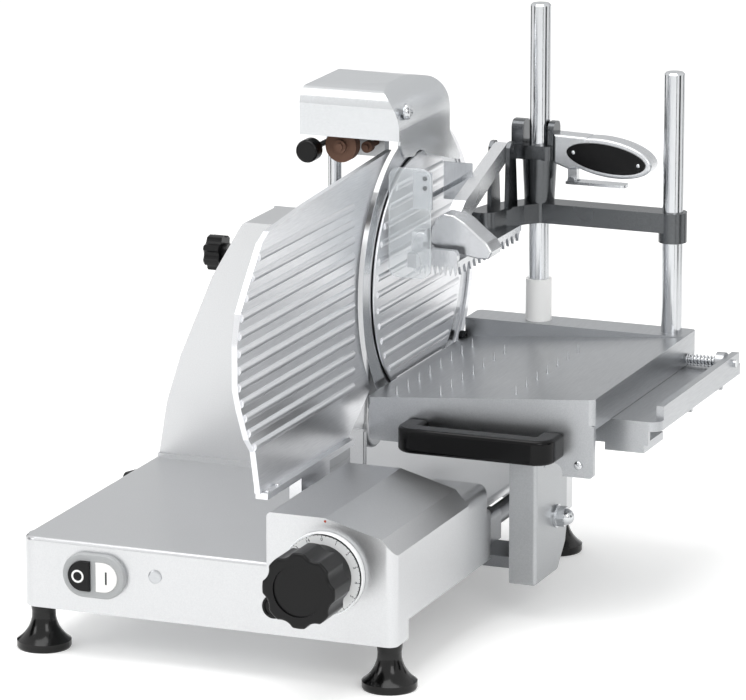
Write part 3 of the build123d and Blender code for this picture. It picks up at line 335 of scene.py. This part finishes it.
def fastener_tree():
    """Sets one head on every point, turned by the point's own angles, and makes it real."""
    tree = bpy.data.node_groups.new("set_fasteners", "GeometryNodeTree")
    kinds = {"Places": "Geometry", "Head": "Object", "Size": "Float", "Finish": "Material", "Seed": "Int"}
    for name, kind in kinds.items():
        tree.interface.new_socket(name, in_out="INPUT", socket_type="NodeSocket" + kind)
    tree.interface.new_socket("Fasteners", in_out="OUTPUT", socket_type="NodeSocketGeometry")
    given = add(tree, "NodeGroupInput")
    head = add(tree, "GeometryNodeObjectInfo", links={"Object": given.outputs["Head"]})
    seat_angles = {"data_type": "FLOAT_VECTOR", "Name": "seat_angles"}
    angles = add(tree, "GeometryNodeInputNamedAttribute", seat_angles)
    chance = add(tree, "FunctionNodeRandomValue", {"data_type": "FLOAT"}, {"Seed": given.outputs["Seed"]})
    chance.inputs[3].default_value = 2 * pi
    own_angle = add(tree, "ShaderNodeCombineXYZ", links={"Z": chance.outputs[1]})
    seat = add(tree, "FunctionNodeEulerToRotation", links={0: angles.outputs[0]})
    own_turn = add(tree, "FunctionNodeEulerToRotation", links={0: own_angle.outputs[0]})
    turned = add(
        tree, "FunctionNodeRotateRotation", {"rotation_space": "LOCAL"},
        {"Rotation": seat.outputs[0], "Rotate By": own_turn.outputs[0]},
    )
    spread = add(
        tree, "GeometryNodeInstanceOnPoints",
        links={
            "Points": given.outputs["Places"], "Instance": head.outputs["Geometry"],
            "Rotation": turned.outputs[0], "Scale": given.outputs["Size"],
        },
    )
    real = add(tree, "GeometryNodeRealizeInstances", links={0: spread.outputs[0]})
    finish = add(tree, "GeometryNodeSetMaterial", links={0: real.outputs[0]})
    tree.links.new(given.outputs["Finish"], finish.inputs["Material"])
    add(tree, "NodeGroupOutput", links={0: finish.outputs[0]})
    return tree


fasteners = fastener_tree()


def set_screws(name, head, size, finish, places, body):
    """Screws of one kind on one body. A place is a point in source millimetres and the head's way up."""
    carrier_mesh = bpy.data.meshes.new(name)
    carrier_mesh.from_pydata([at(*point) for point, _ in places], [], [])
    angles = carrier_mesh.attributes.new("seat_angles", "FLOAT_VECTOR", "POINT")
    for k, (_, up) in enumerate(places):
        angles.data[k].vector = Vector(up).to_track_quat("Z", "Y").to_euler()
    carrier = bpy.data.objects.new(name, carrier_mesh)
    scene.collection.objects.link(carrier)
    scene.collection.objects.link(head)
    modifier = carrier.modifiers.new("fasteners", "NODES")
    modifier.node_group = fasteners
    values = {"Head": head, "Size": size, "Finish": finish, "Seed": 3}
    for socket in fasteners.interface.items_tree:
        if socket.in_out == "INPUT" and socket.name in values:
            modifier[socket.identifier] = values[socket.name]
    bpy.context.view_layer.update()
    mesh = bpy.data.meshes.new_from_object(carrier.evaluated_get(bpy.context.evaluated_depsgraph_get()))
    carrier.modifiers.clear()
    bpy.data.objects.remove(carrier)
    scene.collection.objects.unlink(head)
    return finish_piece(name, mesh, finish, body, True)


pan_profile = [(0, -0.5), (4.0, -0.5), (4.0, 0.6), (3.7, 1.5), (2.8, 2.3), (1.4, 2.75), (0, 2.8)]
slot_half, past_head = 0.5, 20
slot_outline = [(x * past_head, y * slot_half) for x, y in ((-1, -1), (1, -1), (1, 1), (-1, 1))]
slotted_pan = screw_head("slotted_pan", pan_profile, slot_outline, 1.5)
cover_screws = [((x, y, 0), (0, 0, -1)) for x, y in ((60, 120), (230, 60), (60, 440), (230, 500))]
set_screws("cover_plate_screws", slotted_pan, 0.8, bright_steel, cover_screws, "frame")

# ---- feet ----------------------------------------------------------------------------------------
# The four feet are moulded in hard black rubber, waisted and wide at the floor, and are fixed to the
# casting from below. Their skin is smooth enough to mirror the light tent.
def plastic(name, colour, rough, peel_mm=1.5, relief=0.08, shine=0.5):
    """A moulded skin with a faint orange peel and slightly uneven gloss."""
    peel_height = 0.0002
    material, tree = empty_material(name)
    place = add(tree, "ShaderNodeTexCoord")
    peel = add(
        tree, "ShaderNodeTexNoise", {"Scale": 1 / (peel_mm * MM), "Detail": 2.0},
        {"Vector": place.outputs["Object"]},
    )
    uneven = add(
        tree, "ShaderNodeMapRange", {"To Min": rough - 0.05, "To Max": rough + 0.06},
        {"Value": peel.outputs["Fac"]},
    )
    bump = add(
        tree, "ShaderNodeBump", {"Strength": relief, "Distance": peel_height}, {"Height": peel.outputs["Fac"]}
    )
    skin = add(
        tree, "ShaderNodeBsdfPrincipled", {"Base Color": linear(colour), "Specular IOR Level": shine},
        {"Roughness": uneven.outputs["Result"], "Normal": bump.outputs["Normal"]},
    )
    add(tree, "ShaderNodeOutputMaterial", links={"Surface": skin.outputs[0]})
    return material


# Hard rubber: black and wet looking, with one sharp highlight on each flare.
hard_rubber = plastic("hard_black_rubber", "#060606", 0.16, 2.5, 0.05, 0.35)
coat(hard_rubber, "feet")

# ---- front panel ---------------------------------------------------------------------------------
# The switch is a bought part: a black stop button and a white start button in a grey bezel. Each
# button has its sign pad printed on it. A cap and a steel plug close two holes beside it, and the
# cord's gland is in the left side.
def piece(name, points, faces, material, body, smooth=False):
    """A plain mesh whose points are in source millimetres, riding a body."""
    mesh = bpy.data.meshes.new(name)
    mesh.from_pydata([at(*point) for point in points], [], faces)
    return finish_piece(name, mesh, material, body, smooth)


def flat_ring(name, centre, inner, outer, material, body, depth=0.12, steps=48):
    """A thin ring that faces the operator, with its front face at the centre's Y."""
    points, faces = [], []
    for y in (0, depth):
        for radius in (inner, outer):
            for k in range(steps):
                turn = 2 * pi * k / steps
                points.append((centre[0] + radius * cos(turn), centre[1] + y, centre[2] + radius * sin(turn)))
    for k in range(steps):
        n = (k + 1) % steps
        faces.append((k, n, steps + n, steps + k))
        faces.append((2 * steps + k, 3 * steps + k, 3 * steps + n, 2 * steps + n))
        faces.append((steps + k, steps + n, 3 * steps + n, 3 * steps + k))
        faces.append((k, 2 * steps + k, 2 * steps + n, n))
    return piece(name, points, faces, material, body)


def slab(name, low, high, material, body, bevel_mm=0.3):
    """A thin bevelled plate between two corners in source millimetres."""
    mesh = bpy.data.meshes.new(name)
    work = bmesh.new()
    spans = list(zip(low, high))
    corners = [work.verts.new(at(x, y, z)) for x in spans[0] for y in spans[1] for z in spans[2]]
    for face in ((0, 1, 3, 2), (4, 6, 7, 5), (0, 4, 5, 1), (2, 3, 7, 6), (0, 2, 6, 4), (1, 5, 7, 3)):
        work.faces.new([corners[k] for k in face])
    bmesh.ops.bevel(
        work, geom=work.edges, offset=bevel_mm * MM, segments=2, affect="EDGES", clamp_overlap=True
    )
    work.to_mesh(mesh)
    work.free()
    return finish_piece(name, mesh, material, body)


# Moulded ABS: the black is deep and only half glossy, the bezel is a flat mid grey, and the nylon
# is a clean white. The print is a thin matt film.
black_abs = plastic("moulded_black_abs", "#070708", 0.3, shine=0.25)
white_nylon = plastic("white_nylon", "#F8F8F6", 0.38)
grey_bezel = plastic("grey_switch_plastic", "#A6A8A9", 0.3)
print_white = plastic("pad_print_white", "#F2F2F0", 0.5, 1.0, 0.02)
print_dark = plastic("pad_print_dark", "#2B2D30", 0.5, 1.0, 0.02)
coat(grey_bezel, "switch_bezel")
coat(white_nylon, "start_button")
coat(black_abs, "switch_block", "stop_button", "lower_cap", "cable_gland")
coat(sheet_steel, "front_plug")
flat_ring("stop_sign", (66.5, -11.1, 40), 4.6, 6.6, print_white, "stop_button")
slab("start_sign", (95.2, -8.62, 33.5), (97.2, -8.4, 46.5), print_dark, "start_button", 0.04)

# ---- thickness dial ------------------------------------------------------------------------------
# The knob is moulded black ABS on a steel spindle. Its silver ring carries the printed scale, with
# a long tick at each number, and turns with it. A small red dot on the housing is the index mark.
def text_mesh(name, words, height_mm):
    """Built-in lettering as a plain mesh in its own flat plane, in metres."""
    curve = bpy.data.curves.new(name, "FONT")
    curve.body = words
    curve.size = height_mm * MM
    curve.align_x = "CENTER"
    curve.align_y = "CENTER"
    curve.extrude = 0.05 * MM
    holder = bpy.data.objects.new(name, curve)
    scene.collection.objects.link(holder)
    bpy.context.view_layer.update()
    mesh = bpy.data.meshes.new_from_object(holder.evaluated_get(bpy.context.evaluated_depsgraph_get()))
    bpy.data.objects.remove(holder)
    return mesh


dial_x, dial_z = 327, 69
ring_face_y = -9.02
scale_points, scale_faces = [], []


def dial_print(flat_points, flat_faces, angle, radius_mm):
    """Lays a flat mark on the ring's face, turned clockwise by the angle from the top."""
    start = len(scale_points)
    for x, y, lift in flat_points:
        across = x * cos(angle) + (y + radius_mm) * sin(angle)
        rise = (y + radius_mm) * cos(angle) - x * sin(angle)
        scale_points.append((dial_x + across, ring_face_y - lift, dial_z + rise))
    scale_faces.extend(tuple(start + k for k in face) for face in flat_faces)


tick_count, numbers = 60, 15
ticks_to_number = tick_count // numbers
tick_outer = 40.1
print_depth = 0.06
number_radius = 36.1
for mark in range(tick_count):
    half_wide, tick_inner = (0.32, 38.6) if mark % ticks_to_number == 0 else (0.18, 39.2)
    inner_edge = [(-half_wide, tick_inner), (half_wide, tick_inner)]
    outer_edge = [(half_wide, tick_outer), (-half_wide, tick_outer)]
    tick = [(x, y, lift) for lift in (0, print_depth) for x, y in inner_edge + outer_edge]
    sides = [(4, 5, 6, 7), (0, 3, 2, 1), (0, 1, 5, 4), (1, 2, 6, 5), (2, 3, 7, 6), (3, 0, 4, 7)]
    dial_print(tick, sides, 2 * pi * mark / tick_count, 0)
for number in range(numbers):
    lettering = text_mesh("number", str(number), 4.8)
    flat = [(v.co.x / MM, v.co.y / MM, print_depth / 2 + v.co.z / MM) for v in lettering.vertices]
    number_faces = [tuple(p.vertices) for p in lettering.polygons]
    dial_print(flat, number_faces, 2 * pi * number / numbers, number_radius)
# Silvered plastic: a light matt ground that the dark print stands out on.
dial_silver = plastic("silver_dial_plastic", "#F0F1F1", 0.35)
red_paint = plastic("red_index_paint", "#A8442E", 0.5)
coat(dial_silver, "dial_ring")
coat(black_abs, "dial_knob")
coat(bright_steel, "dial_spindle")
piece("dial_scale", scale_points, scale_faces, print_dark, "dial")
flat_ring("dial_rim", (dial_x, -9.3, dial_z), 40.3, 41.6, bright_steel, "dial", 0.9)
flat_ring("index_dot", (dial_x, -0.15, 120.8), 0.05, 1.3, red_paint, "frame", 0.1, 24)

# ---- gauge plate ---------------------------------------------------------------------------------
# The tall gauge plate is cast aluminium, anodised, with its face brushed so the grain runs with the
# meat. It slides on two steel shafts joined by a crossbar, and two slotted screws hold its foot.
# Anodised plate: the lightest of the metals, silvery, with faint lines along the cut.
plate_aluminium = metal("anodised_plate_aluminium", "#EDEEF0", "#DCDDE0", 0.3, 0.9, (1, 0.04, 1))
coat(plate_aluminium, "gauge_plate")
coat(bright_steel, "gauge_shafts", "gauge_crossbar")
foot_screws = [((250.5, y, 133.5), (0, 0, 1)) for y in (36, 62)]
set_screws("gauge_foot_screws", slotted_pan, 0.7, bright_steel, foot_screws, "gauge")

# ---- upright and drive ---------------------------------------------------------------------------
# The upright is cast, and a cast housing on its side holds the blade's bearing. Four slotted screws
# hold a folded steel sheet over its back. Inside are an enamelled motor, two turned pulleys and a
# black rubber belt.
# Polished aluminium: a clear, soft mirror. Rubber: a matt black. Enamel: a smooth blue grey.
polished_aluminium = metal("polished_aluminium", "#D9DBDD", "#CFD1D3", 0.24, 1.5, relief=0.15)
black_rubber = plastic("black_rubber", "#141415", 0.55, 2.0, 0.15)
motor_enamel = plastic("grey_motor_enamel", "#4B5056", 0.4)
coat(cast_aluminium, "upright_casting", "blade_carrier")
coat(sheet_steel, "rear_cover")
coat(motor_enamel, "drive_motor")
coat(bright_steel, "motor_pulley", "blade_shaft", "blade_bearing")
coat(polished_aluminium, "blade_pulley")
coat(black_rubber, "drive_belt")
sheet_screws = [((x, 412, z), (0, 1, 0)) for x, z in ((24, 104), (166, 104), (106, 306), (166, 306))]
set_screws("rear_cover_screws", slotted_pan, 0.8, bright_steel, sheet_screws, "frame")

# ---- blade ---------------------------------------------------------------------------------------
# The blade is ground carbon chromium steel. A ribbed cover and a guard ring of the gauge plate's
# aluminium close its middle and its rear edge. A black knob pulls the cover on by a steel tie rod.
# Ground steel: bright, with a fine even grain. Black oxide: a dull soft black.
ground_steel = metal("ground_blade_steel", "#C9CBCE", "#BBBDC0", 0.2, 0.6, relief=0.06)
black_steel = metal("black_oxide_steel", "#2A2B2D", "#202123", 0.42, 0.8, relief=0.05)
coat(ground_steel, "blade", "blade_screws")
coat(plate_aluminium, "blade_cover", "blade_guard_ring")
coat(bright_steel, "cover_tie_rod")
coat(black_abs, "cover_knob")
cap_profile = [(0, -0.5), (3.4, -0.5), (3.5, 0), (3.5, 2.7), (3.1, 3.2), (0, 3.2)]
key_corner = 1.6 / cos(pi / 6)  # a hexagon key 3.2 mm across its flats
hexagon = [(key_corner * cos(pi / 3 * k), key_corner * sin(pi / 3 * k)) for k in range(6)]
socket_cap = screw_head("socket_cap", cap_profile, hexagon, 1.2)
boss_screw = [((256.6, 553.9, 173.7), (1, 0, 0))]
set_screws("guard_boss_screw", socket_cap, 1.7, black_steel, boss_screw, "frame")
# A small cast foot stands on the deck below the guard ring.
slab("guard_foot", (224, 318, 71.9), (240, 326, 125), cast_aluminium, "frame", 1.2)

# ---- sharpener -----------------------------------------------------------------------------------
# The sharpener sits over the blade under a polished pressed hood, on a blasted cast frame. It has
# two bonded grit stones and a black button that pushes them on. A lock knob clamps its steel post.
# Blasted aluminium: an even mid grey without lines, partly the dull blasted skin and partly painted shade,
# made dark so the carriage leg under the table looks shaded. Grit: a rough red brown that never shines.
blasted_aluminium_painted_shade = metal("bead_blasted_aluminium_painted_shade", "#B4B6B8", "#A6A8AA", 0.38, 1.2)
grit = plastic("bonded_grinding_grit", "#6E5142", 0.85, 0.6, 0.5)
coat(blasted_aluminium_painted_shade, "sharpener_frame")
coat(polished_aluminium, "sharpener_cover")
coat(bright_steel, "sharpener_post")
coat(grit, "grinding_stone", "deburring_stone")
coat(black_abs, "lock_knob", "sharpener_button")
hood_screw = [((267, 367, 453), (1, 0, 0))]
set_screws("hood_screw", slotted_pan, 2.1, bright_steel, hood_screw, "sharpener")

# ---- carriage ------------------------------------------------------------------------------------
# The carriage leg is a blasted casting. Its steel arm reaches into the base and rides an oiled rod
# and bar there, and a bright domed nut holds the leg. The wide tray on it is brushed and anodised.
# Oiled steel: a dark, even grey. Brushed aluminium: a light grey with lines from front to back, painted
# darker than the bare metal as painted shade and painted reflection of dark surroundings on the tray and
# table.
grey_steel = metal("oiled_grey_steel", "#85878A", "#75777A", 0.3, 1.0, relief=0.05)
brushed_aluminium_painted_shade = metal("brushed_anodised_aluminium_painted_shade", "#BCBEC0", "#A8AAAD", 0.3, 0.9, (1, 0.04, 1))
coat(grey_steel, "guide_rod", "guide_bar", "carriage_arm")
# The leg's grey is partly painted shade, for the shadow under the table.
coat(blasted_aluminium_painted_shade, "carriage_leg")
coat(bright_steel, "leg_nut")
# The tray's darker grey is painted shade and painted reflection.
coat(brushed_aluminium_painted_shade, "tray")

# ---- meat table ----------------------------------------------------------------------------------
# The table slides across the tray on a steel rod, and rows of steel spikes keep the meat still. It is
# pushed by a U-shaped handle of glossy black phenolic. A slotted screw is set in its right ear.
# Phenolic: a deep black with narrow highlights along the edges.
phenolic = plastic("glossy_black_phenolic", "#040405", 0.14, 2.5, 0.05, 0.2)
# The table's darker grey is painted shade on its front faces and painted reflection.
coat(brushed_aluminium_painted_shade, "meat_table")
coat(bright_steel, "table_spikes")
coat(phenolic, "table_handle")
coat(bright_steel, "table_rod")
ear_screw = [((489, 276, 124), (0, -1, 0))]
set_screws("table_ear_screw", slotted_pan, 1.15, bright_steel, ear_screw, "table")

# ---- return spring -------------------------------------------------------------------------------
# The return spring is wound from bright wire with closed ends, and sits round the small rod between
# the table and the tray's boss. On the machine it shortens as the table slides out, toward its fixed end;
# here it is one rigid coil that rides the carriage.
def coil(name, start, end, radius, wire, turns, dead, material, body):
    """A closed-end spring along X as one tube: turns are the free ones, dead those of each end."""
    steps, sides = 40, 10
    total = int((turns + 2 * dead) * steps)
    points, faces = [], []
    free = end[0] - start[0] - 2 * wire
    closed = 2.1 * wire * dead
    for k in range(total + 1):
        turn = k / steps
        if turn < dead:
            along = closed * turn / dead
        elif turn > turns + dead:
            along = free - closed * (turns + 2 * dead - turn) / dead
        else:
            along = closed + (free - 2 * closed) * (turn - dead) / turns
        angle = 2 * pi * turn
        outward = Vector((0, cos(angle), sin(angle)))
        centre = Vector(start) + Vector((wire + along, 0, 0)) + outward * radius
        for j in range(sides):
            lean = 2 * pi * j / sides
            points.append(tuple(centre + (outward * cos(lean) + Vector((1, 0, 0)) * sin(lean)) * wire))
    for k in range(total):
        for j in range(sides):
            n = (j + 1) % sides
            faces.append((k * sides + j, k * sides + n, (k + 1) * sides + n, (k + 1) * sides + j))
    faces.append(tuple(range(sides)))
    faces.append(tuple(total * sides + j for j in range(sides)))
    return piece(name, points, faces, material, body, True)


spring_free, spring_fixed = (505.3, 568, 168), (539, 568, 168)
coat(bright_steel, "table_spring")
spring = coil(
    "return_spring", spring_free, spring_fixed, 5.5, 0.85, 7, 1.2, bright_steel, "carriage"
)
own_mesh(spring)
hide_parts("table_spring")

# ---- press rods ----------------------------------------------------------------------------------
# Two drawn stainless rods stand at the table's back. The press slides on the tall one, above a white
# nylon collar, and the short one keeps the cross arm from turning.
coat(bright_steel, "tall_rod", "short_rod")
coat(white_nylon, "rod_collar")

# ---- meat press ----------------------------------------------------------------------------------
# The press is cast in aluminium: a darker polished arm, and a body, handle and lever tumbled to a
# brighter skin. Two small slotted screws hold the glossy black grip in the handle.
# Tumbled aluminium: light and soft. Polished arm: a much darker grey that sets it off from both, a painted
# reflection of dark surroundings put into its colour.
press_aluminium = metal("tumbled_press_aluminium", "#DCDDDF", "#C8CACC", 0.26, 1.6)
# The arm's dark grey is painted reflection, much darker than polished aluminium itself.
arm_aluminium_painted_dark = metal("polished_arm_painted_reflection", "#66686A", "#56585A", 0.24, 1.4, relief=0.08)
coat(arm_aluminium_painted_dark, "cross_arm")
coat(press_aluminium, "press_body", "lever_handle", "palm_grip", "press_lever")
coat(phenolic, "grip_insert")
coat(bright_steel, "brake_lever")
grip_screws = [((376, 569.5, 379.5), (0, -1, 0)), ((448, 569.5, 370.5), (0, -1, 0))]
set_screws("insert_screws", slotted_pan, 0.55, bright_steel, grip_screws, "press")

# ---- clear guard ---------------------------------------------------------------------------------
# The hand guard is a clear polycarbonate sheet. A pressed steel bracket holds it: a tab with two
# black screws, a strip that runs back beside the press lever, and a plate on the arm's end.
# Polycarbonate: the blade shows through it face on, and it turns whiter toward its edges, a painted
# reflection made by turning it more opaque where it is seen at a slant.
clear, tree = empty_material("clear_polycarbonate")
edge = add(tree, "ShaderNodeLayerWeight", {"Blend": 0.35})
# Painted reflection: opacity rises where the sheet is seen at a slant.
painted_edge_reflection = add(tree, "ShaderNodeMapRange", {"To Min": 0.2, "To Max": 0.75}, {"Value": edge.outputs["Facing"]})
skin = add(
    tree, "ShaderNodeBsdfPrincipled", {"Base Color": linear("#E6ECEF"), "Roughness": 0.08},
    {"Alpha": painted_edge_reflection.outputs["Result"]},
)
add(tree, "ShaderNodeOutputMaterial", links={"Surface": skin.outputs[0]})
coat(clear, "hand_guard")
slab("guard_tab", (284, 342.2, 358), (305, 344, 397), bright_steel, "press", 0.4)
slab("guard_strip", (284, 343.9, 359), (285.8, 471, 364), bright_steel, "press", 0.3)
slab("guard_plate", (268, 470.4, 341), (300, 472.2, 381), bright_steel, "press", 0.4)
tab_screws = [((297, 342.1, z), (0, -1, 0)) for z in (390, 380)]
set_screws("guard_tab_screws", slotted_pan, 0.6, black_steel, tab_screws, "press")
